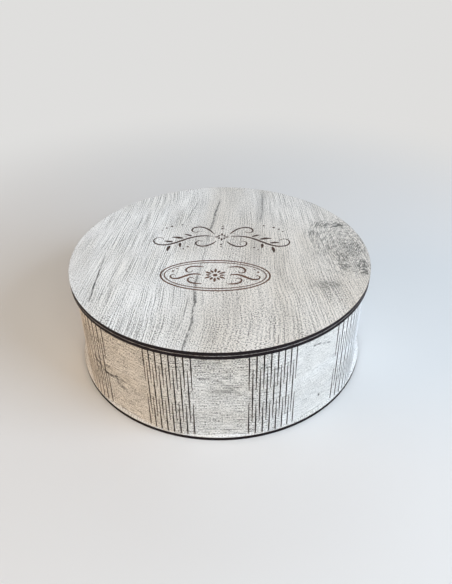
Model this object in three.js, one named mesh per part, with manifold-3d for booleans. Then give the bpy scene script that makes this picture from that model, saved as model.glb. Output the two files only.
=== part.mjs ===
// A round gift box, laser-cut from thin wood board with a pale oak face on both sides.
// Five pieces: a base disc, one bent strip for the side wall, a rim ring, and a lid
// made of a top disc with a smaller locating disc glued under it.
// Millimetres, +Z up. The origin is the centre of the base's underside, and the
// middle of one flat panel of the wall faces -Y.

import * as THREE from 'three';
import { mergeVertices } from 'three/addons/utils/BufferGeometryUtils.js';
import Module from 'manifold-3d';

const wasm = await Module();
wasm.setup();

// Board and overall sizes
const boardThickness = 3;
const discDiameter = 250; // base, rim ring and lid
const wallHeight = 80; // clear height between the base and the rim ring

// Side wall: flat panels joined by living hinges
const panelCount = 10;
const panelWidth = 40.8; // outer face of one flat panel
const panelInset = 3.7; // from the disc's edge in to a panel's outer face, at its middle
const slitColumns = 15; // in each hinge, the outermost two on the panels' borders
const slitWidth = 0.5;
const bridgeHeight = 13.3; // board left uncut above, below or between slits

// Tabs of the wall in slots of the base and the rim ring
const tabWidth = 22;
const tabPlay = 0.15; // round a tab in its slot
const tabShortfall = 0.2; // from a tab's end to the far face of the board it goes through

// Seam where the strip's two ends interlock, in the middle of the back panel
const seamGap = 0.3;
const fingerReach = 8;
const fingerCount = 5;

// Rim ring and lid
const rimLand = 5; // board of the ring left between the slots and the opening
const lidPlay = 0.4; // radial, between the locating disc and the rim's opening
const lidSeatGap = 0.3; // the lid's board never lies quite flat on the rim

// Fineness of the round edges, and how far a cut runs past what it cuts
const discSegments = 180;
const cutOverrun = 1;

// Worked out from the sizes above
const discRadius = discDiameter / 2;
const panelTurn = (2 * Math.PI) / panelCount;
const panelFaceRadius = discRadius - panelInset;
const hingeRadius = panelFaceRadius - panelWidth / 2 / Math.tan(panelTurn / 2);
const hingeCentreRadius = (panelFaceRadius - hingeRadius) / Math.cos(panelTurn / 2);
const columnTurn = panelTurn / (slitColumns - 1);
const frontAngle = -Math.PI / 2;
const seamPanel = Math.floor(panelCount / 2);
const wallBottom = boardThickness;
const wallTop = wallBottom + wallHeight;
const tabReach = boardThickness - tabShortfall;
const stripBottom = wallBottom - tabReach;
const stripTop = wallTop + tabReach;
const slotInner = panelFaceRadius - boardThickness - tabPlay;
const slotOuter = panelFaceRadius + tabPlay;
const rimTop = wallTop + boardThickness;
const openingRadius = slotInner - rimLand;
const lidBottom = rimTop + lidSeatGap;

// Direction of the outward normal of a flat panel
function panelAngle(panel) {
  return frontAngle + panel * panelTurn;
}

// A point given in a panel's own plan frame: along its face, and out from the box's axis
function inPanelFrame(panel, along, out) {
  const angle = panelAngle(panel);
  return new THREE.Vector2(
    out * Math.cos(angle) - along * Math.sin(angle),
    out * Math.sin(angle) + along * Math.cos(angle),
  );
}

// A point on the hinge that follows a panel, at one slit column and a depth below the outer face
function onHinge(panel, column, depth) {
  const middle = panelAngle(panel) + panelTurn / 2;
  const normal = panelAngle(panel) + column * columnTurn;
  return new THREE.Vector2(
    hingeCentreRadius * Math.cos(middle) + (hingeRadius - depth) * Math.cos(normal),
    hingeCentreRadius * Math.sin(middle) + (hingeRadius - depth) * Math.sin(normal),
  );
}

function extrude(shape, bottom, height) {
  const geometry = new THREE.ExtrudeGeometry(shape, { depth: height, bevelEnabled: false });
  return geometry.translate(0, 0, bottom);
}

function circlePoints(radius) {
  return new THREE.EllipseCurve(0, 0, radius, radius).getPoints(discSegments).slice(0, -1);
}

// Between a three.js geometry and a solid that can be cut
function toSolid(geometry) {
  const bare = geometry.clone();
  bare.deleteAttribute('normal');
  bare.deleteAttribute('uv');
  const merged = mergeVertices(bare);
  return new wasm.Manifold(new wasm.Mesh({
    numProp: 3,
    vertProperties: merged.attributes.position.array,
    triVerts: new Uint32Array(merged.index.array),
  }));
}

function toGeometry(solid) {
  const mesh = solid.getMesh();
  const geometry = new THREE.BufferGeometry();
  geometry.setAttribute('position', new THREE.BufferAttribute(mesh.vertProperties, 3));
  geometry.setIndex(new THREE.BufferAttribute(mesh.triVerts, 1));
  geometry.computeVertexNormals();
  return geometry;
}

// The strip's full section in plan, with no slits or tabs yet
function wallSection() {
  const outline = [];
  const inside = [];
  for (let panel = 0; panel < panelCount; panel += 1) {
    for (let column = 0; column < slitColumns; column += 1) {
      outline.push(onHinge(panel, column, 0));
      inside.push(onHinge(panel, column, boardThickness));
    }
  }
  const section = new THREE.Shape(outline);
  section.holes.push(new THREE.Path(inside));
  return section;
}

// What is cut away above and below the wall, between one panel's tab and the next one's
function shoulderSection(panel) {
  const inner = panelFaceRadius - boardThickness - cutOverrun;
  const outer = panelFaceRadius + cutOverrun;
  const half = tabWidth / 2;
  const innerCorner = onHinge(panel, (slitColumns - 1) / 2, boardThickness + cutOverrun);
  const outerCorner = onHinge(panel, (slitColumns - 1) / 2, 0).multiplyScalar(
    (discRadius + cutOverrun) / discRadius,
  );
  return new THREE.Shape([
    inPanelFrame(panel, half, inner),
    inPanelFrame(panel, half, outer),
    inPanelFrame(panel, panelWidth / 2, outer),
    outerCorner,
    inPanelFrame(panel + 1, -panelWidth / 2, outer),
    inPanelFrame(panel + 1, -half, outer),
    inPanelFrame(panel + 1, -half, inner),
    innerCorner,
  ]);
}

// One slit through the board at a column, from one height to another
function slit(panel, column, bottom, top) {
  const depth = boardThickness + 2 * cutOverrun;
  const place = onHinge(panel, column, boardThickness / 2);
  const geometry = new THREE.BoxGeometry(depth, slitWidth, top - bottom);
  geometry.rotateZ(panelAngle(panel) + column * columnTurn);
  return geometry.translate(place.x, place.y, (bottom + top) / 2);
}

// Even columns have two slits that run out through the wall's edges, and odd ones a long middle slit
function hingeSlits(panel) {
  const slits = [];
  const middle = (wallBottom + wallTop) / 2;
  for (let column = 0; column < slitColumns; column += 1) {
    if (column % 2 === 0) {
      slits.push(slit(panel, column, wallBottom - cutOverrun, middle - bridgeHeight / 2));
      slits.push(slit(panel, column, middle + bridgeHeight / 2, wallTop + cutOverrun));
    } else {
      slits.push(slit(panel, column, wallBottom + bridgeHeight, wallTop - bridgeHeight));
    }
  }
  return slits;
}

// The square-toothed kerf between the strip's ends, as boxes across the board
function seamCuts() {
  const across = boardThickness + 2 * cutOverrun;
  const fingerHeight = (stripTop - stripBottom) / fingerCount;
  const out = panelFaceRadius - boardThickness / 2;
  const cuts = [];
  for (let finger = 0; finger < fingerCount; finger += 1) {
    const bottom = stripBottom + finger * fingerHeight;
    const side = finger % 2 === 0 ? -fingerReach / 2 : fingerReach / 2;
    const upright = new THREE.BoxGeometry(across, seamGap, fingerHeight + seamGap);
    cuts.push(upright.translate(out, side, bottom + fingerHeight / 2));
    if (finger > 0) {
      const level = new THREE.BoxGeometry(across, fingerReach, seamGap);
      cuts.push(level.translate(out, 0, bottom));
    }
  }
  return cuts.map((cut) => cut.rotateZ(panelAngle(seamPanel)));
}

function sideWall() {
  const cuts = seamCuts();
  const shoulderHeight = tabReach + cutOverrun;
  for (let panel = 0; panel < panelCount; panel += 1) {
    cuts.push(...hingeSlits(panel));
    cuts.push(extrude(shoulderSection(panel), wallBottom - shoulderHeight, shoulderHeight));
    cuts.push(extrude(shoulderSection(panel), wallTop, shoulderHeight));
  }
  let solid = toSolid(extrude(wallSection(), stripBottom, stripTop - stripBottom));
  for (const cut of cuts) {
    solid = solid.subtract(toSolid(cut));
  }
  return toGeometry(solid);
}

// The slots that take the wall's tabs
function tabSlots() {
  const half = tabWidth / 2 + tabPlay;
  const slots = [];
  for (let panel = 0; panel < panelCount; panel += 1) {
    slots.push(new THREE.Path([
      inPanelFrame(panel, -half, slotInner),
      inPanelFrame(panel, half, slotInner),
      inPanelFrame(panel, half, slotOuter),
      inPanelFrame(panel, -half, slotOuter),
    ]));
  }
  return slots;
}

function basePanel() {
  const disc = new THREE.Shape(circlePoints(discRadius));
  disc.holes.push(...tabSlots());
  return extrude(disc, 0, boardThickness);
}

function rimRing() {
  const ring = new THREE.Shape(circlePoints(discRadius));
  ring.holes.push(new THREE.Path(circlePoints(openingRadius)), ...tabSlots());
  return extrude(ring, wallTop, boardThickness);
}

function lidPanel() {
  return extrude(new THREE.Shape(circlePoints(discRadius)), 0, boardThickness);
}

function lidLocatingDisc() {
  const disc = new THREE.Shape(circlePoints(openingRadius - lidPlay));
  return extrude(disc, -boardThickness, boardThickness);
}

function piece(name, geometry, colour, roughness) {
  const material = new THREE.MeshStandardMaterial({ color: colour, roughness, metalness: 0 });
  const mesh = new THREE.Mesh(geometry, material);
  mesh.name = name;
  return mesh;
}

const giftBox = new THREE.Group();

const body = new THREE.Group();
body.add(piece('base_panel', basePanel(), 0xcbc9c4, 0.6));
body.add(piece('side_wall', sideWall(), 0xc6c2ba, 0.55));
body.add(piece('rim_ring', rimRing(), 0xcbc9c4, 0.6));
giftBox.add(body);

const lid = new THREE.Group();
lid.position.z = lidBottom;
lid.add(piece('lid_panel', lidPanel(), 0xcfcdc9, 0.5));
lid.add(piece('lid_locating_disc', lidLocatingDisc(), 0xcbc9c4, 0.6));
giftBox.add(lid);

export default giftBox;
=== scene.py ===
import math

import bmesh
import bpy
from mathutils import Matrix, Vector


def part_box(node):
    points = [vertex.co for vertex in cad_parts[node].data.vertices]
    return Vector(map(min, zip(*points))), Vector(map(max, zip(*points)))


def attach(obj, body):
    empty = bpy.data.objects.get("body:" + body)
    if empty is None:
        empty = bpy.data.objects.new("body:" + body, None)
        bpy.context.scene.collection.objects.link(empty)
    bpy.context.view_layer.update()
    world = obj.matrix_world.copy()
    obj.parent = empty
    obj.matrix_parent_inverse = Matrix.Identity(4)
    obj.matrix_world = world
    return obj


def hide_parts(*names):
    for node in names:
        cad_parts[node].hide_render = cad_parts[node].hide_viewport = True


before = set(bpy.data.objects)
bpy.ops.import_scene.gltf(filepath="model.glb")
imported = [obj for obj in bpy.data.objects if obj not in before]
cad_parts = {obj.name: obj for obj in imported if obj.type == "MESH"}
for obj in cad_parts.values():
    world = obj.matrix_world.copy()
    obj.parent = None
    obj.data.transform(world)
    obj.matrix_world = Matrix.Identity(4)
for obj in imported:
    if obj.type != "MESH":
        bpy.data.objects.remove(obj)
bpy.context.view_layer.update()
mm = 0.001
print("frame loaded:", ", ".join(sorted(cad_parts)))


# Node helpers

def addNode(tree, kind, inputs=None, **settings):
    made = tree.nodes.new("ShaderNode" + kind)
    for name, value in settings.items():
        setattr(made, name, value)
    for name, value in (inputs or {}).items():
        if isinstance(value, bpy.types.NodeSocket):
            tree.links.new(value, made.inputs[name])
        else:
            made.inputs[name].default_value = value
    return made


def maths(tree, operation, *values, clamp=False):
    made = addNode(tree, "Math", dict(enumerate(values)), operation=operation, use_clamp=clamp)
    return made.outputs[0]


def vectorMaths(tree, operation, *values, result=0):
    return addNode(tree, "VectorMath", dict(enumerate(values)), operation=operation).outputs[result]


def ease(tree, value, low, high, start=0.0, end=1.0):
    made = addNode(tree, "MapRange", {0: value, 1: low, 2: high, 3: start, 4: end},
                   interpolation_type="SMOOTHSTEP")
    return made.outputs[0]


def mixColour(tree, factor, first, second, blend="MIX"):
    return addNode(tree, "Mix", {0: factor, 6: first, 7: second},
                   data_type="RGBA", blend_type=blend).outputs[2]


def joinAxes(tree, x, y, z=0.0):
    return addNode(tree, "CombineXYZ", {0: x, 1: y, 2: z}).outputs[0]


def cloud(tree, place, fineness, seed, detail=2.0, roughness=0.5, distortion=0.0):
    moved = addNode(tree, "Mapping", {"Vector": place, "Location": (0, 0, seed), "Scale": fineness})
    made = addNode(tree, "TexNoise", {"Vector": moved.outputs[0], "Scale": 1.0, "Detail": detail,
                                      "Roughness": roughness, "Distortion": distortion})
    return made.outputs[0]


def placeInMm(tree, axes=(1, 1, 1)):
    here = addNode(tree, "TexCoord").outputs["Object"]
    return addNode(tree, "Mapping", {"Vector": here, "Scale": [axis / mm for axis in axes]}).outputs[0]


def curveOf(tree, value, points):
    made = addNode(tree, "FloatCurve", {"Value": value})
    drawn = made.mapping.curves[0].points
    drawn[0].location, drawn[1].location = points[0], points[-1]
    for point in points[1:-1]:
        drawn.new(*point)
    made.mapping.update()
    return made.outputs[0]


def newMaterial(name):
    made = bpy.data.materials.new(name)
    made.use_nodes = True
    return made, made.node_tree, made.node_tree.nodes["Principled BSDF"]


def finishSurface(tree, shader, colour, roughness, height, depth):
    tree.links.new(colour, shader.inputs["Base Color"])
    tree.links.new(roughness, shader.inputs["Roughness"])
    bump = addNode(tree, "Bump", {"Height": height, "Distance": depth, "Strength": 1.0})
    tree.links.new(bump.outputs[0], shader.inputs["Normal"])


# Whitewashed oak

oakLook = {
    "pale": (0.83, 0.828, 0.815, 1),
    "warm": (0.75, 0.732, 0.695, 1),
    "line": (0.31, 0.30, 0.28, 1),
    "pore": (0.145, 0.135, 0.12, 1),
    "crack": (0.032, 0.030, 0.028, 1),
    "knot": (0.075, 0.076, 0.066, 1),
    "singed": (0.11, 0.06, 0.035, 1),
    "singeing": 0.8,              # how strongly a cut's margin is browned
    "specular": 0.28,
    "roughness": (0.54, 0.68),    # on the print, and in the pores
    "relief": 0.04 * mm,
    # clouds that shape the grain: fineness per mm across and along, shift of the seed, detail
    "waver": ((0.018, 0.005, 1), 0, 2.0),      # moves all the grain sideways
    "sway": ((0.13, 0.016, 1), 17, 1.0),       # moves the rows of pores
    "tone": ((0.028, 0.008, 1), 11, 2.0),      # pale and warm stretches
    "patches": ((0.045, 0.014, 1), 53, 2.0),   # light and dark stretches
    # the same without the fineness, which each figure sets itself; the grit's roughness comes last
    "lineCloud": (23, 1.0),
    "gritCloud": (61, 1.5, 0.6),
    "waverReach": 14.0,           # mm
    "swayTurn": 9.0,              # radians of a row's wave
    "patchDepth": 0.14,           # strength of the light and dark stretches
    "warmFrom": (0.36, 0.68),     # values of the tone cloud where the warm colour starts and is full
    "lightest": 1.15,             # limit of the wash's brightness
    "poresFrom": (0.55, 0.75),    # darkness at which pores start to open, and are open
    # shares of a streak's width: how far it wavers, and where it starts and ends to fade
    "streakWaver": 1.5,
    "streakFade": (0.25, 1.2),
    "streakTaper": 3.0,           # the higher, the later a streak thins out towards its ends
}


def oakGrain(tree, across, along, seed, lined, figure):
    # across and along are millimetres; gives the colour, and how far the pores are open
    def shiftedCloud(place, fineness, shift, *form):
        return cloud(tree, place, fineness, seed + shift, *form)

    def layer(name, place):
        return shiftedCloud(place, *oakLook[name])

    waver = layer("waver", joinAxes(tree, across, along))
    bent = maths(tree, "MULTIPLY_ADD", waver, oakLook["waverReach"], across)
    place = joinAxes(tree, bent, along)
    tone = ease(tree, layer("tone", place), *oakLook["warmFrom"])
    wave = maths(tree, "MULTIPLY", bent, 2 * math.pi / figure["row"])
    wave = maths(tree, "MULTIPLY_ADD", layer("sway", place), oakLook["swayTurn"], wave)
    rows = maths(tree, "MULTIPLY", maths(tree, "SINE", wave), figure["rows"])
    lines = shiftedCloud(place, figure["lines"], *oakLook["lineCloud"])
    lines = maths(tree, "MULTIPLY_ADD", maths(tree, "SUBTRACT", lines, 0.5), figure["lining"], rows)
    grit = shiftedCloud(place, figure["grit"], *oakLook["gritCloud"])
    patches = maths(tree, "SUBTRACT", layer("patches", place), 0.5)

    dark = maths(tree, "MULTIPLY_ADD", lines, lined, grit)
    dark = maths(tree, "MULTIPLY_ADD", patches, oakLook["patchDepth"], dark)
    light = maths(tree, "SUBTRACT", 0.5, dark)
    light = maths(tree, "MULTIPLY_ADD", light, figure["contrast"], figure["wash"])
    light = maths(tree, "MINIMUM", light, oakLook["lightest"])
    washed = mixColour(tree, tone, oakLook["pale"], oakLook["warm"])
    washed = mixColour(tree, 1.0, washed, joinAxes(tree, light, light, light), "MULTIPLY")
    pores = maths(tree, "MULTIPLY", ease(tree, dark, *oakLook["poresFrom"]), figure["ink"])
    return mixColour(tree, pores, washed, oakLook["pore"]), pores


def streak(tree, place, start, end, width, waver):
    # one soft dark line between two points in millimetres, 1 on the line and 0 beside it
    first, axis = Vector((*start, 0)), Vector((*end, 0)) - Vector((*start, 0))
    away = vectorMaths(tree, "SUBTRACT", place, first)
    along = vectorMaths(tree, "DOT_PRODUCT", away, axis, result=1)
    share = maths(tree, "DIVIDE", along, axis.length_squared, clamp=True)
    nearest = addNode(tree, "VectorMath", {0: axis, 3: share}, operation="SCALE").outputs[0]
    gap = vectorMaths(tree, "DISTANCE", away, nearest, result=1)
    gap = maths(tree, "ABSOLUTE", maths(tree, "MULTIPLY_ADD", waver, oakLook["streakWaver"] * width, gap))
    offMiddle = maths(tree, "ABSOLUTE", maths(tree, "MULTIPLY_ADD", share, 2.0, -1.0))
    taper = maths(tree, "SUBTRACT", 1.0, maths(tree, "POWER", offMiddle, oakLook["streakTaper"]))
    solid, gone = (fade * width for fade in oakLook["streakFade"])
    return maths(tree, "MULTIPLY", ease(tree, gap, solid, gone, 1, 0), taper)


def strongest(tree, place, streaks, waver):
    # the darkest of several streaks at each place
    worn = 0.0
    for start, end, width, strength in streaks:
        line = streak(tree, place, start, end, width, waver)
        worn = maths(tree, "MAXIMUM", worn, maths(tree, "MULTIPLY", line, strength))
    return worn


def finishOak(tree, shader, colour, pores):
    # the face is printed, so its cracks are flat and only the pores are pressed in
    shader.inputs["Specular IOR Level"].default_value = oakLook["specular"]
    finishSurface(tree, shader, colour, ease(tree, pores, 0, 1, *oakLook["roughness"]),
                  maths(tree, "SUBTRACT", 1.0, pores), oakLook["relief"])


def singedRim(tree, colour):
    rim = addNode(tree, "Attribute", attribute_name="singe").outputs["Fac"]
    return mixColour(tree, maths(tree, "MULTIPLY", rim, oakLook["singeing"]), colour, oakLook["singed"])


# Lid decor

lidDecor = {
    "reach": 127.0,          # mm, half of what the crack's curves span
    "swing": 60.0,           # mm, full height of the crack's sideways curve
    # shares of reach and swing: the long crack from the front edge to near the back
    "crackShares": [(0.0, 0.06), (0.03, 0.082), (0.08, 0.118), (0.13, 0.16), (0.20, 0.172), (0.245, 0.19),
                    (0.29, 0.18), (0.34, 0.188), (0.40, 0.23), (0.48, 0.275), (0.64, 0.347), (0.71, 0.40),
                    (0.79, 0.44), (0.887, 0.505), (1.0, 0.48)],
    "depthShares": [(0.0, 0.8), (0.12, 0.9), (0.25, 0.95), (0.38, 0.75), (0.5, 0.35), (0.62, 0.45),
                    (0.72, 1.0), (0.84, 0.95), (0.885, 0.4), (0.93, 0.12), (1.0, 0.6)],
    # millimetres between rows of pores, fineness per millimetre, and strengths
    "figure": {"row": 1.9, "rows": 0.06, "lines": (1.3, 0.025, 1), "lining": 0.6, "grit": (1.4, 0.9, 1),
               "contrast": 3.85, "wash": 0.938, "ink": 0.66},
    "seed": 3.0,
    "fan": 0.0011,           # how much closer together the grain gets per mm towards the back
    "crackPull": (-12.0, 48.0),    # mm: where the crack bends the grain most, and how far out by half
    # the fine lines: mm from the middle where their strength starts and ends to change, and its values
    "leftLining": (-118.0, -85.0, 0.45, 1.0),
    "middleLining": (-45.0, -15.0, 0.9, 0.4),
    "rightLining": (20.0, 55.0, 0.4, 0.62),
    "middleTint": (0.885, 0.842, 0.795, 1),    # the darker, warmer wood right of the long crack
    "tintAcross": (-50.0, 15.0),          # mm across between which it comes in
    "tintBack": (20.0, 95.0, 1, 0.55),    # mm towards the back between which it weakens, from and to; this weakening is a painted cool sheen that lightens the far part
    # clouds that make the crack wander and break off: fineness per mm, seed, detail and roughness
    "wander": ((0.5, 0.2, 1), 71.0, 3.0, 0.7),
    "breaks": ((0.5, 0.17, 1), 79.0, 2.0, 0.6),
    "crackWander": 4.5,      # mm
    # mm off the crack's middle where it starts and ends to fade, and its strength there
    "crackCore": (0.4, 1.25, 0.85, 0),
    "crackHalo": (0.5, 4.0, 0.22, 0),
    # values of the breaks cloud where a crack or streak is faintest and fullest, and its strength there
    "crackBroken": (0.36, 0.56, 0.3, 1),
    "streakBroken": (0.34, 0.5, 0.55, 1),
    # start, end, width and strength of the short streaks, in mm
    "streaks": [((-96.5, 0.0), (-97.6, -24.0), 0.85, 0.65),
                ((-97.4, -17.0), (-98.0, -38.0), 0.75, 1.0),
                ((-98.0, -31.0), (-98.9, -56.5), 0.8, 1.0),
                ((-97.9, -50.0), (-98.9, -67.0), 0.75, 1.0),
                ((-89.8, -53.0), (-92.4, -65.0), 0.8, 0.55),
                ((-86.3, -35.5), (-86.9, -47.5), 0.8, 0.40),
                ((-23.6, -60.0), (-27.0, -89.0), 0.9, 0.50),
                ((-26.8, -86.0), (-30.6, -103.0), 0.8, 0.35),
                ((-19.0, -56.0), (-19.4, -72.0), 1.6, 0.40),
                ((-19.5, 97.0), (-32.0, 54.0), 0.9, 0.45),
                ((42.2, 112.0), (40.2, 66.0), 1.2, 0.55),
                ((40.6, 73.0), (36.4, 51.0), 1.4, 0.40),
                ((49.5, 106.0), (47.0, 60.0), 1.4, 0.30)],
    # the same for the broad soft shadows
    "shadows": [((43.0, 120.0), (36.5, 44.0), 6.0, 0.24),
                ((37.0, 54.0), (26.0, -34.0), 6.0, 0.14),
                ((48.0, 4.0), (52.5, -62.0), 6.0, 0.10),
                ((50.0, -68.0), (46.0, -112.0), 5.0, 0.08),
                ((5.0, -52.0), (4.6, -108.0), 4.0, 0.10),
                ((12.8, -48.0), (11.8, -104.0), 4.0, 0.13)],
    # centre, radii, seed and strength of the mottled patches, in mm
    "knots": [((103.0, 12.0), (32.0, 54.0), 5.0, 0.64), ((92.0, 46.0), (12.0, 10.0), 9.0, 0.85),
              ((84.0, 31.5), (9.0, 7.0), 13.0, 0.8), ((105.0, 45.0), (12.0, 9.0), 17.0, 0.9),
              ((112.0, 4.0), (15.0, 20.0), 21.0, 0.9), ((102.0, -8.0), (8.0, 14.0), 25.0, 0.85),
              ((102.0, -22.0), (8.0, 8.0), 29.0, 0.85), ((117.0, -24.0), (7.0, 20.0), 33.0, 0.9),
              ((83.0, -47.0), (16.0, 8.0), 37.0, 0.65)],
    "knotRag": ((0.16, 0.12, 1), 3.0, 0.6),    # fineness per mm, detail and roughness of its ragged border
    "knotBorder": (1.6, 1.1, 2.0),    # its raggedness, and with that added the shares of a radius it fades at
    "knotHeart": (111.0, 3.0),
    "knotRound": 0.55,       # width of the rings across the grain, to their length along it
    # fineness out from the heart and round it, seed, detail, roughness and distortion
    "knotFleck": ((1.0, 0.14, 1), 91.0, 2.0, 0.6, 0.8),
    "fleckTurn": 40.0,       # mm that a radian counts as round the heart, whatever the distance
    "fleckFill": 0.08,       # how much fuller the flecks are where a patch is strong
    "fleckFrom": (0.50, 0.62),        # values of their cloud where flecks start and are full
}


def ragPatch(tree, place, centre, radii, seed):
    # a round patch with a ragged border, 1 inside
    moved = addNode(tree, "Mapping", {"Vector": place,
                                      "Location": (-centre[0] / radii[0], -centre[1] / radii[1], 0),
                                      "Scale": (1 / radii[0], 1 / radii[1], 0)})
    reach = vectorMaths(tree, "LENGTH", moved.outputs[0], result=1)
    fineness, detail, roughness = lidDecor["knotRag"]
    ragged = cloud(tree, place, fineness, seed, detail, roughness)
    rag, inside, outside = lidDecor["knotBorder"]
    return ease(tree, maths(tree, "MULTIPLY_ADD", ragged, rag, reach), inside, outside, 1, 0)


def curledFlecks(tree, place):
    # noise drawn out along rings round the heart of the knot, which are longer along the grain
    away = vectorMaths(tree, "SUBTRACT", place, (*lidDecor["knotHeart"], 0))
    away = vectorMaths(tree, "MULTIPLY", away, (1, lidDecor["knotRound"], 1))
    reach = vectorMaths(tree, "LENGTH", away, result=1)
    axes = addNode(tree, "SeparateXYZ", {0: away}).outputs
    turn = maths(tree, "ARCTAN2", axes[1], maths(tree, "MULTIPLY", axes[0], -1.0))
    ring = joinAxes(tree, reach, maths(tree, "MULTIPLY", turn, lidDecor["fleckTurn"]))
    return cloud(tree, ring, *lidDecor["knotFleck"])


def lidFace():
    material, tree, shader = newMaterial("pale_oak_lid")
    place = placeInMm(tree, (1, 1, 0))
    axes = addNode(tree, "SeparateXYZ", {0: place}).outputs
    x, y = axes[0], axes[1]

    # the long crack, and the grain that follows it
    share = maths(tree, "MULTIPLY_ADD", y, 0.5 / lidDecor["reach"], 0.5)
    offset = maths(tree, "MULTIPLY_ADD", curveOf(tree, share, lidDecor["crackShares"]),
                   lidDecor["swing"], -lidDecor["swing"] / 2)
    centre, halfPull = lidDecor["crackPull"]
    near = maths(tree, "DIVIDE", maths(tree, "SUBTRACT", x, centre), halfPull)
    near = maths(tree, "DIVIDE", 1.0, maths(tree, "MULTIPLY_ADD", near, near, 1.0))
    fanned = maths(tree, "MULTIPLY", x, maths(tree, "MULTIPLY_ADD", y, lidDecor["fan"], 1.0))
    across = maths(tree, "SUBTRACT", fanned, maths(tree, "MULTIPLY", offset, near))
    lined = maths(tree, "MAXIMUM", ease(tree, x, *lidDecor["middleLining"]),
                  ease(tree, x, *lidDecor["rightLining"]))
    lined = maths(tree, "MULTIPLY", lined, ease(tree, x, *lidDecor["leftLining"]))
    colour, pores = oakGrain(tree, across, y, lidDecor["seed"], lined, lidDecor["figure"])
    # painted sheen: the warm tint weakens towards the back, which lightens and cools the lid's far part
    tinted = maths(tree, "MULTIPLY", ease(tree, x, *lidDecor["tintAcross"]),
                   ease(tree, y, *lidDecor["tintBack"]))
    colour = mixColour(tree, tinted, colour, lidDecor["middleTint"], "MULTIPLY")

    ragged = maths(tree, "SUBTRACT", cloud(tree, place, *lidDecor["wander"]), 0.5)
    colour = mixColour(tree, strongest(tree, place, lidDecor["shadows"], ragged), colour, oakLook["crack"])
    breaks = cloud(tree, place, *lidDecor["breaks"])
    gap = maths(tree, "MULTIPLY_ADD", ragged, lidDecor["crackWander"], maths(tree, "SUBTRACT", x, offset))
    gap = maths(tree, "ABSOLUTE", gap)
    depth = curveOf(tree, share, lidDecor["depthShares"])
    halo = maths(tree, "MULTIPLY", ease(tree, gap, *lidDecor["crackHalo"]), depth)
    colour = mixColour(tree, halo, colour, oakLook["line"])
    depth = maths(tree, "MULTIPLY", depth, ease(tree, breaks, *lidDecor["crackBroken"]))
    core = maths(tree, "MULTIPLY", ease(tree, gap, *lidDecor["crackCore"]), depth)
    worn = maths(tree, "MAXIMUM", core, strongest(tree, place, lidDecor["streaks"], ragged))
    worn = maths(tree, "MULTIPLY", worn, ease(tree, breaks, *lidDecor["streakBroken"]))
    colour = mixColour(tree, worn, colour, oakLook["crack"])

    # the knot at the right
    mottled = 0.0
    for centre, radii, seed, strength in lidDecor["knots"]:
        patch = ragPatch(tree, place, centre, radii, seed)
        mottled = maths(tree, "MAXIMUM", mottled, maths(tree, "MULTIPLY", patch, strength))
    flecks = maths(tree, "MULTIPLY_ADD", mottled, lidDecor["fleckFill"], curledFlecks(tree, place))
    flecks = ease(tree, flecks, *lidDecor["fleckFrom"])
    colour = mixColour(tree, maths(tree, "MULTIPLY", flecks, mottled), colour, oakLook["knot"])
    finishOak(tree, shader, singedRim(tree, colour), pores)
    return material


# Burnt edges and engraving

edgeLook = {
    "char": (0.006, 0.004, 0.006, 1),
    "umber": (0.020, 0.012, 0.013, 1),
    "foil": (0.62, 0.575, 0.56, 1),
    "stained": (0.05, 0.038, 0.036, 1),
    "stainedSide": (45.0, 100.0, 0, 0.85),    # mm towards +X, where the foil is stained all along
    # specular level, roughness at its least and most, and relief
    "edgeFinish": (0.14, (0.52, 0.70), 0.06 * mm),
    "foilFinish": (0.3, (0.45, 0.60), 0.02 * mm),
    "floorFinish": (0.2, (0.70, 0.85), 0.05 * mm),
    # floor of the strokes, lightly and deeply burnt: dark for the flourish, red-brown for the oval
    "flourish": ((0.085, 0.052, 0.042, 1), (0.035, 0.024, 0.021, 1)),
    "oval": ((0.165, 0.090, 0.062, 1), (0.075, 0.041, 0.032, 1)),
    # clouds: fineness per mm, seed, detail and roughness
    "beamMarks": ((1.9, 1.9, 0.10), 7.0, 3.0, 0.7),      # upright, on a cut edge
    "edgePatches": ((0.09, 0.09, 0.3), 19.0, 2.0),
    "foilStains": ((0.12, 0.12, 0.5), 29.0, 4.0, 0.7),
    "beamPasses": ((0.3, 4.5, 1.0), 43.0, 2.0),          # level, on an engraved floor
    "floorChar": ((0.25, 0.25, 1.0), 47.0, 3.0, 0.6),
    # values of a cloud where what it makes starts and is full, and its least and full strength
    "mottleFrom": (0.3, 0.7),
    "marksFrom": (0.35, 0.7),
    "patchesFrom": (0.3, 0.7, 0.3, 1),
    "stainFrom": (0.40, 0.56),
    "charFrom": (0.35, 0.65),
    "passesFrom": (0.35, 0.65, 0.4, 1),
}


def finishCut(tree, shader, finish, colour, mottle, height):
    specular, roughness, relief = finish
    shader.inputs["Specular IOR Level"].default_value = specular
    rough = ease(tree, mottle, *edgeLook["mottleFrom"], *roughness)
    finishSurface(tree, shader, colour, rough, height, relief)


def burntEdge():
    material, tree, shader = newMaterial("burnt_edge")
    place = placeInMm(tree)
    strokes = cloud(tree, place, *edgeLook["beamMarks"])
    patches = cloud(tree, place, *edgeLook["edgePatches"])
    brown = maths(tree, "MULTIPLY", ease(tree, strokes, *edgeLook["marksFrom"]),
                  ease(tree, patches, *edgeLook["patchesFrom"]))
    colour = mixColour(tree, brown, edgeLook["char"], edgeLook["umber"])
    finishCut(tree, shader, edgeLook["edgeFinish"], colour, patches, strokes)
    return material


def foilEdge():
    material, tree, shader = newMaterial("foil_edge")
    place = placeInMm(tree)
    stains = cloud(tree, place, *edgeLook["foilStains"])
    side = addNode(tree, "SeparateXYZ", {0: place}).outputs[0]
    stained = maths(tree, "MAXIMUM", ease(tree, stains, *edgeLook["stainFrom"]),
                    ease(tree, side, *edgeLook["stainedSide"]))
    colour = mixColour(tree, stained, edgeLook["foil"], edgeLook["stained"])
    finishCut(tree, shader, edgeLook["foilFinish"], colour, stains, stains)
    return material


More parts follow.
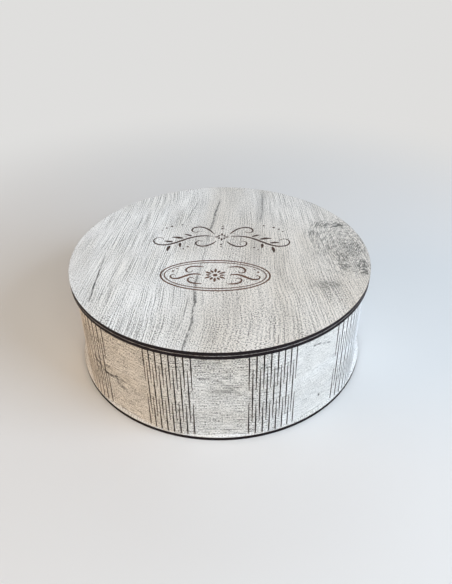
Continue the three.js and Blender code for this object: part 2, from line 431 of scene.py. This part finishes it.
def engravedFloor(design):
    material, tree, shader = newMaterial("engraved_" + design)
    place = placeInMm(tree)
    passes = cloud(tree, place, *edgeLook["beamPasses"])
    char = cloud(tree, place, *edgeLook["floorChar"])
    dark = maths(tree, "MULTIPLY", ease(tree, char, *edgeLook["charFrom"]),
                 ease(tree, passes, *edgeLook["passesFrom"]))
    colour = mixColour(tree, dark, *edgeLook[design])
    finishCut(tree, shader, edgeLook["floorFinish"], colour, char, passes)
    return material


lidOak = lidFace()
burnt, foil = burntEdge(), foilEdge()
engravings = (engravedFloor("flourish"), engravedFloor("oval"))
print("materials made")


# Flat boards: base, rim ring and the lid's two discs

boardLook = {
    "steps": 240,            # sides of a round edge
    "foil": 0.2 * mm,        # printed face, where its edge still shows
    "singe": 0.25 * mm,      # browned margin beside a cut
    "grooveSinge": 0.22 * mm,    # the same beside the engraving
    "weld": 0.0001 * mm,     # how near a corner counts as on the line where the foil starts
    "sharpest": 30,          # degrees, above which an edge isn't smoothed
    "figure": {"row": 1.9, "rows": 0.10, "lines": (1.3, 0.025, 1), "lining": 0.6, "grit": (1.4, 0.9, 1),
               "contrast": 2.4, "wash": 0.95, "ink": 0.5},
    "seed": 131.0,
    "lined": 0.3,            # strength of the fine lines
    "figureStep": 9.0,       # mm across the figure for each mm of height, so that no two boards match
}
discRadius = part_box("base_panel")[1].x
faceSlot, edgeSlot, foilSlot, flourishSlot, ovalSlot = range(5)    # a board's materials


def boardFace():
    material, tree, shader = newMaterial("pale_oak_board")
    axes = addNode(tree, "SeparateXYZ", {0: placeInMm(tree)}).outputs
    x = maths(tree, "MULTIPLY_ADD", axes[2], boardLook["figureStep"], axes[0])
    colour, pores = oakGrain(tree, x, axes[1], boardLook["seed"], boardLook["lined"], boardLook["figure"])
    finishOak(tree, shader, singedRim(tree, colour), pores)
    return material


boardOak = boardFace()


def circleEdges(bm, radius, height):
    made = bmesh.ops.create_circle(bm, radius=radius, segments=boardLook["steps"],
                                   matrix=Matrix.Translation((0, 0, height)))
    return list({edge for vert in made["verts"] for edge in vert.link_edges})


def slotEdges(bm, length, width, distance, angle, height):
    place = (Matrix.Translation((0, 0, height)) @ Matrix.Rotation(angle, 4, "Z")
             @ Matrix.Translation((distance, 0, 0)) @ Matrix.Diagonal((width, length, 1, 1)))
    made = bmesh.ops.create_grid(bm, x_segments=1, y_segments=1, size=0.5, matrix=place)
    edges = list({edge for vert in made["verts"] for edge in vert.link_edges})
    bmesh.ops.delete(bm, geom=edges[0].link_faces[:], context="FACES_ONLY")
    return edges


def loopEdges(bm, points, height):
    corners = [bm.verts.new((x, y, height)) for x, y in points]
    return [bm.edges.new((corners[k - 1], corners[k])) for k in range(len(corners))]


def fill(bm, edges):
    made = bmesh.ops.triangle_fill(bm, use_beauty=True, use_dissolve=False, edges=edges)
    return [item for item in made["geom"] if isinstance(item, bmesh.types.BMFace)]


def dropEdges(bm, edges, depth):
    made = bmesh.ops.extrude_edge_only(bm, edges=edges)["geom"]
    moved = [item for item in made if isinstance(item, bmesh.types.BMVert)]
    bmesh.ops.translate(bm, vec=(0, 0, -depth), verts=moved)
    moved = set(moved)
    lower = [item for item in made if isinstance(item, bmesh.types.BMEdge) and set(item.verts) <= moved]
    walls = [item for item in made if isinstance(item, bmesh.types.BMFace)]
    return lower, walls


def joined(loops):
    return [edge for loop in loops for edge in loop]


def cutBoard(bm, low, high, through, regions=None):
    # through: loops cut right through, at the upper face; regions: groups of edges that bound its faces
    groups = regions or [joined(through)]
    top = [face for group in groups for face in fill(bm, group)]
    lower = dropEdges(bm, joined(through), high - low)[0]
    return top, fill(bm, lower)


def singeFaces(bm, faces, width=boardLook["singe"]):
    bmesh.ops.inset_region(bm, faces=faces, thickness=width, depth=0,
                           use_boundary=True, use_even_offset=False)


def finishBoard(bm, name, foilSpan, node, body, faceMaterial):
    # foilSpan: the heights between which the printed face's pale edge was left unburnt, if anywhere
    bmesh.ops.recalc_face_normals(bm, faces=bm.faces[:])
    for height in foilSpan:
        bmesh.ops.bisect_plane(bm, geom=bm.verts[:] + bm.edges[:] + bm.faces[:], dist=boardLook["weld"],
                               plane_co=(0, 0, height), plane_no=(0, 0, 1))
    singe = bm.verts.layers.float.new("singe")
    for face in bm.faces:
        height = face.calc_center_median().z
        upright = abs(face.normal.z) < 0.5
        if upright and face.material_index == faceSlot:
            isFoil = foilSpan and foilSpan[0] < height < foilSpan[1]
            face.material_index = foilSlot if isFoil else edgeSlot
        if upright:
            for vert in face.verts:
                vert[singe] = 1.0
        face.smooth = True
    piece = makePiece(bm, name, (faceMaterial, burnt, foil) + engravings)
    piece.data.set_sharp_from_angle(angle=math.radians(boardLook["sharpest"]))
    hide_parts(node)
    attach(piece, body)


def makePiece(bm, name, materials):
    mesh = bpy.data.meshes.new(name)
    bm.to_mesh(mesh)
    bm.free()
    for material in materials:
        mesh.materials.append(material)
    piece = bpy.data.objects.new(name, mesh)
    bpy.context.collection.objects.link(piece)
    return piece


# Base and rim ring

slotLook = {
    "panels": 10,
    "front": -math.pi / 2,   # way that the first panel faces
    "panelInset": 3.7 * mm,  # from the disc's edge in to a panel's outer face
    "board": 3.0 * mm,
    "tabWidth": 22.0 * mm,
    "play": 0.15 * mm,       # round a tab in its slot
    "lidPlay": 0.4 * mm,     # between the locating disc and the rim ring's opening
}
panelTurn = 2 * math.pi / slotLook["panels"]
middleApothem = discRadius - slotLook["panelInset"] - slotLook["board"] / 2    # to a panel's middle


def tabSlotLoops(bm, height):
    length = slotLook["tabWidth"] + 2 * slotLook["play"]
    width = slotLook["board"] + 2 * slotLook["play"]
    return [slotEdges(bm, length, width, middleApothem, slotLook["front"] + panel * panelTurn, height)
            for panel in range(slotLook["panels"])]


def makeBase():
    low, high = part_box("base_panel")
    bm = bmesh.new()
    through = [circleEdges(bm, high.x, high.z)] + tabSlotLoops(bm, high.z)
    for faces in cutBoard(bm, low.z, high.z, through):
        singeFaces(bm, faces)
    finishBoard(bm, "basePlate", (), "base_panel", "box", boardOak)


def makeRim():
    low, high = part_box("rim_ring")
    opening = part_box("lid_locating_disc")[1].x + slotLook["lidPlay"]
    bm = bmesh.new()
    through = [circleEdges(bm, radius, high.z) for radius in (high.x, opening)] + tabSlotLoops(bm, high.z)
    for faces in cutBoard(bm, low.z, high.z, through):
        singeFaces(bm, faces)
    finishBoard(bm, "rimRing", (high.z - boardLook["foil"], high.z), "rim_ring", "box",
                boardOak)


makeBase()
makeRim()
print("base and rim ring made")


# Lid: locating disc, and the top disc with its engraving

def makeLocatingDisc():
    low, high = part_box("lid_locating_disc")
    bm = bmesh.new()
    bottom = cutBoard(bm, low.z, high.z, [circleEdges(bm, high.x, high.z)])[1]
    singeFaces(bm, bottom)
    finishBoard(bm, "locatingDisc", (low.z, low.z + boardLook["foil"]), "lid_locating_disc", "lid",
                boardOak)


# lengths in mm and headings in degrees; a bend is in radians per mm, at a stroke's start and end
engraving = {
    "turn": -2.9,            # the design isn't quite square to the front panel
    "depth": 0.25,
    "fullness": 0.7,         # the lower, the longer a stroke keeps its full width
    "leafBends": (0.05, -0.12),
    "leafSteps": 10,
    "petalSteps": 10,
    "dotSides": 14,
    "ringSides": 120,
    "flourish": {
        "centre": (0.5, 27.0),
        # start, heading, length, bends, growth of the bend, full width, steps
        "arms": [((7.5, 0.5), 20, 74, (-0.046, 0.30), 2.3, 2.0, 48),
                 ((6.8, 4.5), 62, 40, (-0.012, -0.36), 1.7, 1.7, 36),
                 ((4.5, -7.0), -62, 33, (0.035, 0.36), 1.7, 1.7, 32)],
        # share of the first arm, heading from it, length, width and distance off it
        "leaves": [(0.24, 50, 8.0, 2.2, 2.3), (0.36, 46, 11.0, 2.8, 2.3), (0.50, 42, 8.5, 2.4, 2.3),
                   (0.44, -58, 7.5, 2.2, -2.3), (0.56, -58, 9.5, 2.6, -2.3)],
        "petals": (8, 1.9, (6.5, 4.6), 1.7),     # count, inner reach, outer reaches, width
        # centre and radius; the paired ones are mirrored
        "dots": [((0, 14.5), 1.1), ((0, 18.2), 0.8), ((0, 21.0), 0.55),
                 ((0, -12.5), 1.0), ((0, -16.0), 0.7)],
        "pairedDots": [((46, 17.5), 1.1), ((50.5, 14.5), 0.9), ((53.8, 10.6), 0.7),
                       ((37, 20.5), 0.9), ((28.5, -17), 0.9), ((32, -20.5), 0.65)],
    },
    "cartouche": {
        "centre": (-2.0, -32.5),
        # half width and half height of each line's outer and inner side
        "rings": [(44.5, 22.0), (43.2, 20.7), (41.3, 18.8), (40.4, 17.9)],
        "arms": [((11.3, 0.0), 34, 34, (-0.115, 0.62), 2.3, 2.1, 40),
                 ((9.5, -12.0), 0, 22, (0.0, 0.56), 1.7, 1.7, 30),
                 ((9.5, 11.5), 12, 27, (-0.01, -0.50), 1.7, 1.7, 30)],
        "petals": (12, 3.6, (9.5, 7.6), 2.0),
        "hub": 1.8,
        "pairedDots": [((34.5, 5.0), 1.0), ((31.5, 8.6), 0.75)],
    },
}


def penLine(start, heading, length, bends, growth, steps):
    # points and headings along a line that bends more and more, or less and less
    x, y = start
    angle = math.radians(heading)
    points = [(x, y, angle)]
    for step in range(steps):
        share = (step + 0.5) / steps
        angle += length / steps * (bends[0] + (bends[1] - bends[0]) * share ** growth)
        x += length / steps * math.cos(angle)
        y += length / steps * math.sin(angle)
        points.append((x, y, angle))
    return points


def strokeLoop(line, width, fullest=0.4):
    # a pen stroke's outline, pointed at both ends; fullest: the share of its length where it is widest
    shift = math.log(0.5) / math.log(fullest)
    left, right = [], []
    for index, (x, y, angle) in enumerate(line):
        share = index / (len(line) - 1)
        half = width / 2 * abs(math.sin(math.pi * share ** shift)) ** engraving["fullness"]
        left.append((x - half * math.sin(angle), y + half * math.cos(angle)))
        right.append((x + half * math.sin(angle), y - half * math.cos(angle)))
    return left + right[-2:0:-1]


def ovalLoop(wide, high, steps):
    return [(wide * math.cos(2 * math.pi * k / steps), high * math.sin(2 * math.pi * k / steps))
            for k in range(steps)]


def petalLoops(count, near, fars, width):
    steps = engraving["petalSteps"]
    loops = []
    for k in range(count):
        angle = 2 * math.pi * k / count + math.pi / 2
        far = fars[k % len(fars)]
        reaches = [near + (far - near) * step / steps for step in range(steps + 1)]
        line = [(reach * math.cos(angle), reach * math.sin(angle), angle) for reach in reaches]
        loops.append(strokeLoop(line, width, 0.5))
    return loops


def bothSides(loops):
    return loops + [[(-x, y) for x, y in loop] for loop in loops]


def armLoops(design):
    lines = [penLine(*arm[:5], arm[6]) for arm in design["arms"]]
    loops = [strokeLoop(line, arm[5]) for line, arm in zip(lines, design["arms"])]
    for share, heading, length, width, off in design.get("leaves", []):
        x, y, angle = lines[0][round(share * (len(lines[0]) - 1))]
        root = (x - off * math.sin(angle), y + off * math.cos(angle))
        leaf = penLine(root, math.degrees(angle) + heading, length, engraving["leafBends"], 1,
                       engraving["leafSteps"])
        loops.append(strokeLoop(leaf, width))
    return bothSides(loops)


def shifted(loops, centre):
    return [[(x + centre[0], y + centre[1]) for x, y in loop] for loop in loops]


def dotLoop(centre, radius):
    return shifted([ovalLoop(radius, radius, engraving["dotSides"])], centre)[0]


def engravedLoops(bm, height):
    turn = Matrix.Rotation(math.radians(engraving["turn"]), 2)

    def drawn(loops, centre):
        return [loopEdges(bm, [turn @ Vector(point) * mm for point in loop], height)
                for loop in shifted(loops, centre)]

    top, oval = engraving["flourish"], engraving["cartouche"]
    free = armLoops(top) + petalLoops(*top["petals"]) + [dotLoop(*dot) for dot in top["dots"]]
    free += bothSides([dotLoop(*dot) for dot in top["pairedDots"]])
    inner = armLoops(oval) + petalLoops(*oval["petals"]) + [dotLoop((0, 0), oval["hub"])]
    inner += bothSides([dotLoop(*dot) for dot in oval["pairedDots"]])
    rings = [ovalLoop(wide, high, engraving["ringSides"]) for wide, high in oval["rings"]]
    return drawn(free, top["centre"]), drawn(rings, oval["centre"]), drawn(inner, oval["centre"])


def makeLidTop():
    low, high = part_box("lid_panel")
    bm = bmesh.new()
    outer = circleEdges(bm, high.x, high.z)
    free, rings, inner = engravedLoops(bm, high.z)
    regions = [outer + rings[0] + joined(free), rings[1] + rings[2], rings[3] + joined(inner)]
    top, bottom = cutBoard(bm, low.z, high.z, [outer], regions)
    bands = [rings[0] + rings[1], rings[2] + rings[3]]
    for index, groups in ((flourishSlot, free), (ovalSlot, bands + inner)):
        for group in groups:
            lower, sides = dropEdges(bm, group, engraving["depth"] * mm)
            for face in sides + fill(bm, lower):
                face.material_index = index
    singeFaces(bm, top, boardLook["grooveSinge"])
    singeFaces(bm, bottom)
    finishBoard(bm, "lidTop", (), "lid_panel", "lid", lidOak)


makeLocatingDisc()
makeLidTop()
print("lid made")


# Side wall: a flat strip with its slits, then bent round the box

wallLook = {
    "panelWidth": 40.8 * mm,     # one flat panel, between its outermost slits
    "columns": 15,               # slit columns in each hinge
    "bridge": 13.3 * mm,         # board left above, below or between slits
    "kerf": 0.50 * mm,           # a slit, half open
    "gape": 0.44 * mm,           # how much wider a slit is where it gapes than at a closed end
    "singe": 0.25 * mm,
    "seamGap": 0.3 * mm,
    "fingerReach": 8.0 * mm,
    "fingers": 5,
    "twistSteps": 5,             # rows where the board between two slits twists
    "insideShift": 0.4,          # of the strip's length, to the figure that the inside shows
}
hingeGaps = wallLook["columns"] - 1
columnTurn = panelTurn / hingeGaps
halfPanel = wallLook["panelWidth"] / 2
stripLow, stripHigh = (corner.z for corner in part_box("side_wall"))
wallLow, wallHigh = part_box("base_panel")[1].z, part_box("rim_ring")[0].z
wallMiddle = (wallLow + wallHigh) / 2


def hingePath(turnsAtOdd):
    # headings and corners of the board's middle line through a hinge, from one panel's border
    headings = [columnTurn * (2 * ((gap + 1) // 2) if turnsAtOdd else 2 * (gap // 2) + 1)
                for gap in range(hingeGaps)]
    half = headings[:hingeGaps // 2]
    slope = math.tan(panelTurn / 2)
    pitch = (middleApothem - halfPanel / slope) / (
        sum(map(math.sin, half)) + sum(map(math.cos, half)) / slope)
    places = [Vector((halfPanel, -middleApothem))]
    for heading in headings:
        places.append(places[-1] + pitch * Vector((math.cos(heading), math.sin(heading))))
    return headings, places, pitch


hingePaths = [hingePath(False), hingePath(True)]
columnPitch = (hingePaths[0][2] + hingePaths[1][2]) / 2
wallPeriod = wallLook["panelWidth"] + hingeGaps * columnPitch
stripLength = wallPeriod * slotLook["panels"]


def endShare(z):
    # 1 near the wall's upper and lower edges, 0 at mid height, and in between where slits overlap
    reach = abs(z - wallMiddle) - wallLook["bridge"] / 2
    overlap = (wallHigh - wallLow) / 2 - 1.5 * wallLook["bridge"]
    return min(max(reach / overlap, 0), 1)


def bend(u, z, depth):
    panel = round(u / wallPeriod)
    local = u - panel * wallPeriod
    side = 1 if local >= 0 else -1
    off = slotLook["board"] / 2 - depth
    spots = []
    for headings, places, pitch in hingePaths:
        if abs(local) <= halfPanel:
            spot, heading = Vector((abs(local), -middleApothem)), 0
        else:
            column = (abs(local) - halfPanel) / columnPitch
            gap = min(int(column), hingeGaps - 1)
            heading = headings[gap]
            spot = places[gap] + (column - gap) * pitch * Vector((math.cos(heading), math.sin(heading)))
        spots.append(spot + off * Vector((math.sin(heading), -math.cos(heading))))
    flat = spots[1].lerp(spots[0], endShare(z))
    flat.x *= side
    flat = Matrix.Rotation(panel * panelTurn, 2) @ flat
    return Vector((flat.x, flat.y, z))


def stripLines():
    # upright lines: place along the strip, slit column or None, side of the slit and distance from its edge
    lines = []
    for panel in range(-(slotLook["panels"] // 2), slotLook["panels"] // 2 + 1):
        middle = panel * wallPeriod
        lines += [(middle + side * slotLook["tabWidth"] / 2, None, side, 0) for side in (-1, 1)]
        for column in range(wallLook["columns"]):
            place = middle + halfPanel + column * columnPitch
            lines += [(place, column, side, margin)
                      for side in (-1, 1) for margin in (0, wallLook["singe"])]
    end = stripLength / 2
    reach, gap = wallLook["fingerReach"] / 2, wallLook["seamGap"] / 2
    ends = [(sign * end + side * reach + share * off, None, side, 0) for sign in (-1, 1) for side in (-1, 1)
            for share in (-1, 1) for off in (gap, gap + wallLook["singe"])]
    lines = [line for line in lines if abs(line[0]) < end - 2 * reach] + ends
    return sorted(lines, key=lambda line: linePlace(line, 0.5))


def linePlace(line, openness):
    place, column, side, margin = line
    if column is None:
        return place
    return place + side * ((wallLook["kerf"] + wallLook["gape"] * (openness - 0.5)) / 2 + margin)


def stripRows():
    bridge, singe = wallLook["bridge"], wallLook["singe"]
    rows = {stripLow, stripHigh, wallMiddle}
    for sign, edge in ((1, wallLow), (-1, wallHigh)):
        overlapFrom = edge + sign * bridge
        overlapTo = wallMiddle - sign * bridge / 2
        rows |= {edge, edge + sign * singe, overlapFrom - sign * singe, overlapTo + sign * singe}
        for step in range(wallLook["twistSteps"] + 1):
            rows.add(overlapFrom + (overlapTo - overlapFrom) * step / wallLook["twistSteps"])
    finger = (stripHigh - stripLow) / wallLook["fingers"]
    gap = wallLook["seamGap"] / 2
    for count in range(1, wallLook["fingers"]):
        rows |= {stripLow + count * finger + off for off in (-gap - singe, -gap, gap, gap + singe)}
    return sorted(rows)


def isCut(lineA, lineB, low, high):
    # whether the board between two lines and two rows is cut away
    z = (low + high) / 2
    u = (linePlace(lineA, 0.5) + linePlace(lineB, 0.5)) / 2
    end = stripLength / 2
    finger = (stripHigh - stripLow) / wallLook["fingers"]
    level = (z - stripLow) / finger
    reach, gap = wallLook["fingerReach"] / 2, wallLook["seamGap"] / 2
    atLevel = abs(level - round(level)) * finger < gap and 0 < round(level) < wallLook["fingers"]
    side = -reach if int(level) % 2 == 0 else reach
    if u > end + (-reach if atLevel else side) - gap or u < -end + (reach if atLevel else side) + gap:
        return True
    if z < wallLow or z > wallHigh:
        local = u - round(u / wallPeriod) * wallPeriod
        return abs(local) > slotLook["tabWidth"] / 2
    if lineA[1] is None or lineA[1] != lineB[1] or lineA[3] or lineB[3]:
        return False
    if lineA[1] % 2 == 0:
        return abs(z - wallMiddle) > wallLook["bridge"] / 2
    return abs(z - wallMiddle) < (wallHigh - wallLow) / 2 - wallLook["bridge"]


def layStrip():
    lines, rows = stripLines(), stripRows()
    bm = bmesh.new()
    bmesh.ops.create_grid(bm, x_segments=len(lines) - 1, y_segments=len(rows) - 1, size=1)
    spot = {}
    for vert in bm.verts:
        i = round((vert.co.x + 1) / 2 * (len(lines) - 1))
        j = round((vert.co.y + 1) / 2 * (len(rows) - 1))
        spot[vert] = (i, j)
        line, z = lines[i], rows[j]
        openness = endShare(z) if line[1] is not None and line[1] % 2 == 0 else 1 - endShare(z)
        vert.co = (linePlace(line, openness), 0, z)
    waste = []
    for face in bm.faces:
        i = min(spot[vert][0] for vert in face.verts)
        j = min(spot[vert][1] for vert in face.verts)
        if isCut(lines[i], lines[i + 1], rows[j], rows[j + 1]):
            waste.append(face)
    bmesh.ops.delete(bm, geom=waste, context="FACES")
    return bm


def makeWall(material):
    bm = layStrip()
    made = bmesh.ops.extrude_face_region(bm, geom=bm.faces[:])["geom"]
    moved = [item for item in made if isinstance(item, bmesh.types.BMVert)]
    bmesh.ops.translate(bm, vec=(0, slotLook["board"], 0), verts=moved)
    bmesh.ops.recalc_face_normals(bm, faces=bm.faces[:])
    singe = bm.verts.layers.float.new("singe")
    along = bm.loops.layers.uv.new("strip")
    for face in bm.faces:
        cut = abs(face.normal.y) < 0.5
        face.material_index = 1 if cut else 0
        shift = wallLook["insideShift"] if face.normal.y > 0.5 else 0.0
        for loop in face.loops:
            place = loop.vert.co
            loop[along].uv = (place.x / stripLength + 0.5, place.z / stripLength + shift)
            if cut:
                loop.vert[singe] = 1.0
    for vert in bm.verts:
        vert.co = bend(vert.co.x, vert.co.z, vert.co.y)
    bmesh.ops.recalc_face_normals(bm, faces=bm.faces[:])
    wall = makePiece(bm, "wallStrip", (material, burnt))
    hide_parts("side_wall")
    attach(wall, "box")
    return wall


wallDecor = {
    # start, end, width and strength of the streaks, in mm along the strip and up
    "streaks": [((-114.0, 46.0), (-101.0, 37.5), 2.1, 0.75),
                ((-101.8, 37.4), (-98.8, 34.2), 1.5, 0.85),
                ((-99.8, 36.2), (-95.4, 33.8), 1.6, 1.0),
                ((-96.4, 34.2), (-90.2, 34.9), 1.8, 0.90),
                ((-91.0, 35.0), (-86.0, 37.2), 1.4, 0.85),
                ((-88.4, 36.0), (-86.8, 32.6), 1.5, 0.75),
                ((-87.6, 32.6), (-86.2, 28.0), 1.6, 0.50),
                ((-86.6, 28.6), (-77.4, 27.0), 2.1, 0.58),
                ((-85.2, 35.7), (-77.2, 35.0), 1.3, 0.60),
                ((-99.8, 42.9), (-93.2, 43.0), 1.6, 0.48),
                ((-69.8, 44.4), (-66.6, 44.7), 1.3, 0.50),
                ((-113.0, 38.5), (-103.0, 28.5), 3.0, 0.35),
                ((-110.0, 48.0), (-100.0, 46.0), 1.5, 0.35),
                ((72.0, 73.5), (74.9, 72.2), 1.0, 0.70),
                ((75.3, 73.1), (80.0, 71.0), 1.0, 0.62),
                ((80.9, 70.7), (85.2, 69.0), 0.9, 0.40),
                ((85.4, 69.4), (89.9, 67.4), 1.0, 0.62),
                ((83.0, 18.2), (83.3, 14.6), 1.2, 0.9),
                ((-15.8, 62.3), (-3.8, 61.3), 1.4, 0.36),
                ((-5.6, 61.7), (3.8, 54.8), 1.4, 0.36),
                ((1.8, 56.4), (15.8, 44.4), 1.6, 0.38),
                ((1.6, 51.6), (9.2, 54.7), 1.6, 0.32),
                ((6.8, 54.7), (14.0, 51.4), 1.6, 0.32),
                ((-7.8, 49.0), (12.8, 48.2), 2.4, 0.36),
                # painted shade: the next two faint streaks darken the front panel just below the rim, where
                # the lid's overhang shades it
                ((-20.0, 77.9), (4.4, 76.0), 1.7, 0.16),
                ((-13.2, 76.3), (-2.2, 72.3), 1.6, 0.12),
                ((-15.0, 9.0), (-2.0, 8.5), 0.8, 0.35),
                ((-1.0, 8.2), (16.0, 7.9), 0.8, 0.50)],
    "figure": {"row": 2.4, "rows": 0.06, "lines": (1.6, 0.11, 1), "lining": 1.5, "grit": (2.2, 0.78, 1),
               "wash": 0.895, "ink": 0.35},
    "seed": 211.0,
    "lined": 0.35,               # strength of the fine lines
    # cloud that makes the streaks wander: fineness per mm, seed, detail and roughness
    "wander": ((0.16, 0.4, 1), 83.0, 3.0, 0.7),
    # the figure's contrast, and the mm either side of the front where it changes
    "frontContrast": (25.0, 60.0, 4.9, 1.6),    # left of and on the front panel, and right of it
    "backContrast": (125.0, 200.0, 2.4),
}


def wallFace():
    material, tree, shader = newMaterial("pale_oak_wall")
    here = addNode(tree, "UVMap", uv_map="strip").outputs[0]
    length = stripLength / mm
    place = addNode(tree, "Mapping", {"Vector": here, "Location": (-length / 2, 0, 0),
                                      "Scale": (length, length, 0)}).outputs[0]
    axes = addNode(tree, "SeparateXYZ", {0: place}).outputs
    away = maths(tree, "ABSOLUTE", axes[0])
    frontEnds, (start, end, back) = wallDecor["frontContrast"], wallDecor["backContrast"]
    contrast = ease(tree, away, start, end, ease(tree, axes[0], *frontEnds), back)
    figure = dict(wallDecor["figure"], contrast=contrast)
    colour, pores = oakGrain(tree, axes[1], axes[0], wallDecor["seed"], wallDecor["lined"], figure)
    ragged = maths(tree, "SUBTRACT", cloud(tree, place, *wallDecor["wander"]), 0.5)
    colour = mixColour(tree, strongest(tree, place, wallDecor["streaks"], ragged), colour, oakLook["crack"])
    finishOak(tree, shader, singedRim(tree, colour), pores)
    return material


wall = makeWall(wallFace())
print("side wall made:", len(wall.data.polygons), "faces")


# Floor, light and camera

studio = {
    "floor": (0.74, 0.735, 0.725, 1),
    "bounce": (0.33, 0.30, 0.26, 1),     # what the floor throws back at the box
    "floorRoughness": 0.9,
    "floorReach": 4.0,
    "fade": (0.28, 0.62),    # m from the middle, between which the floor passes into the plain backdrop
    "world": (0.25, 0.25, 0.25, 1),
    # name, place, size, power and colour
    "lamps": [("windowRight", (1.21, -0.57, 0.72), 1.0, 24.5, (0.67, 0.81, 1.0)),
              ("softFront", (0.15, -1.15, 0.95), 1.0, 8.6, (1.0, 0.97, 0.86)),
              ("softBack", (-0.1, 1.5, 0.85), 1.2, 6.2, (0.70, 0.87, 1.0)),
              ("warmLeft", (-1.4, -0.3, 0.5), 1.0, 10.1, (1.0, 0.60, 0.28))],
    "aim": (0.0, 0.0, 0.05),
}

view = {
    "place": (4.886 * mm, -422.95 * mm, 356.8 * mm),
    "down": 36.06,           # degrees below level
    "roll": -0.84,
    "lens": 36.47,
    "sensor": 36.0,
}


def seenRay(tree):
    # 1 where the backdrop is looked at, 0 where it only lights the box
    path = addNode(tree, "LightPath")
    seen = maths(tree, "MAXIMUM", path.outputs["Is Camera Ray"], path.outputs["Is Glossy Ray"])
    return maths(tree, "MAXIMUM", seen, path.outputs["Is Transmission Ray"])


def makeFloor():
    material, tree, shader = newMaterial("studio_floor")
    seen = seenRay(tree)
    place = addNode(tree, "TexCoord").outputs["Object"]
    far = ease(tree, vectorMaths(tree, "LENGTH", place, result=1), *studio["fade"])
    near = mixColour(tree, far, studio["floor"], (0.0, 0.0, 0.0, 1))
    tree.links.new(mixColour(tree, seen, studio["bounce"], near), shader.inputs["Base Color"])
    tree.links.new(maths(tree, "MULTIPLY", far, seen), shader.inputs["Emission Strength"])
    shader.inputs["Emission Color"].default_value = studio["floor"]
    shader.inputs["Roughness"].default_value = studio["floorRoughness"]
    shader.inputs["Specular IOR Level"].default_value = 0.0
    bm = bmesh.new()
    bmesh.ops.create_grid(bm, x_segments=1, y_segments=1, size=studio["floorReach"])
    floor = makePiece(bm, "studioFloor", (material,))


def makeLights():
    world = bpy.data.worlds.new("studio")
    bpy.context.scene.world = world
    world.use_nodes = True
    tree = world.node_tree
    sky = mixColour(tree, seenRay(tree), studio["world"], studio["floor"])
    tree.links.new(sky, tree.nodes["Background"].inputs["Color"])
    for name, place, size, power, colour in studio["lamps"]:
        lamp = bpy.data.lights.new(name, "AREA")
        lamp.size, lamp.energy, lamp.color = size, power, colour
        holder = bpy.data.objects.new(name, lamp)
        holder.location = place
        holder.rotation_euler = (Vector(studio["aim"]) - Vector(place)).to_track_quat("-Z", "Y").to_euler()
        bpy.context.collection.objects.link(holder)


def makeCamera():
    data = bpy.data.cameras.new("photoView")
    data.lens = view["lens"]
    data.sensor_width = view["sensor"]
    camera = bpy.data.objects.new("photoView", data)
    camera.matrix_world = (Matrix.Translation(view["place"])
                           @ Matrix.Rotation(math.radians(90 - view["down"]), 4, "X")
                           @ Matrix.Rotation(math.radians(view["roll"]), 4, "Z"))
    bpy.context.collection.objects.link(camera)
    bpy.context.scene.camera = camera


makeFloor()
makeLights()
makeCamera()
bpy.context.scene.view_settings.view_transform = "Standard"
print("floor, lights and camera set")
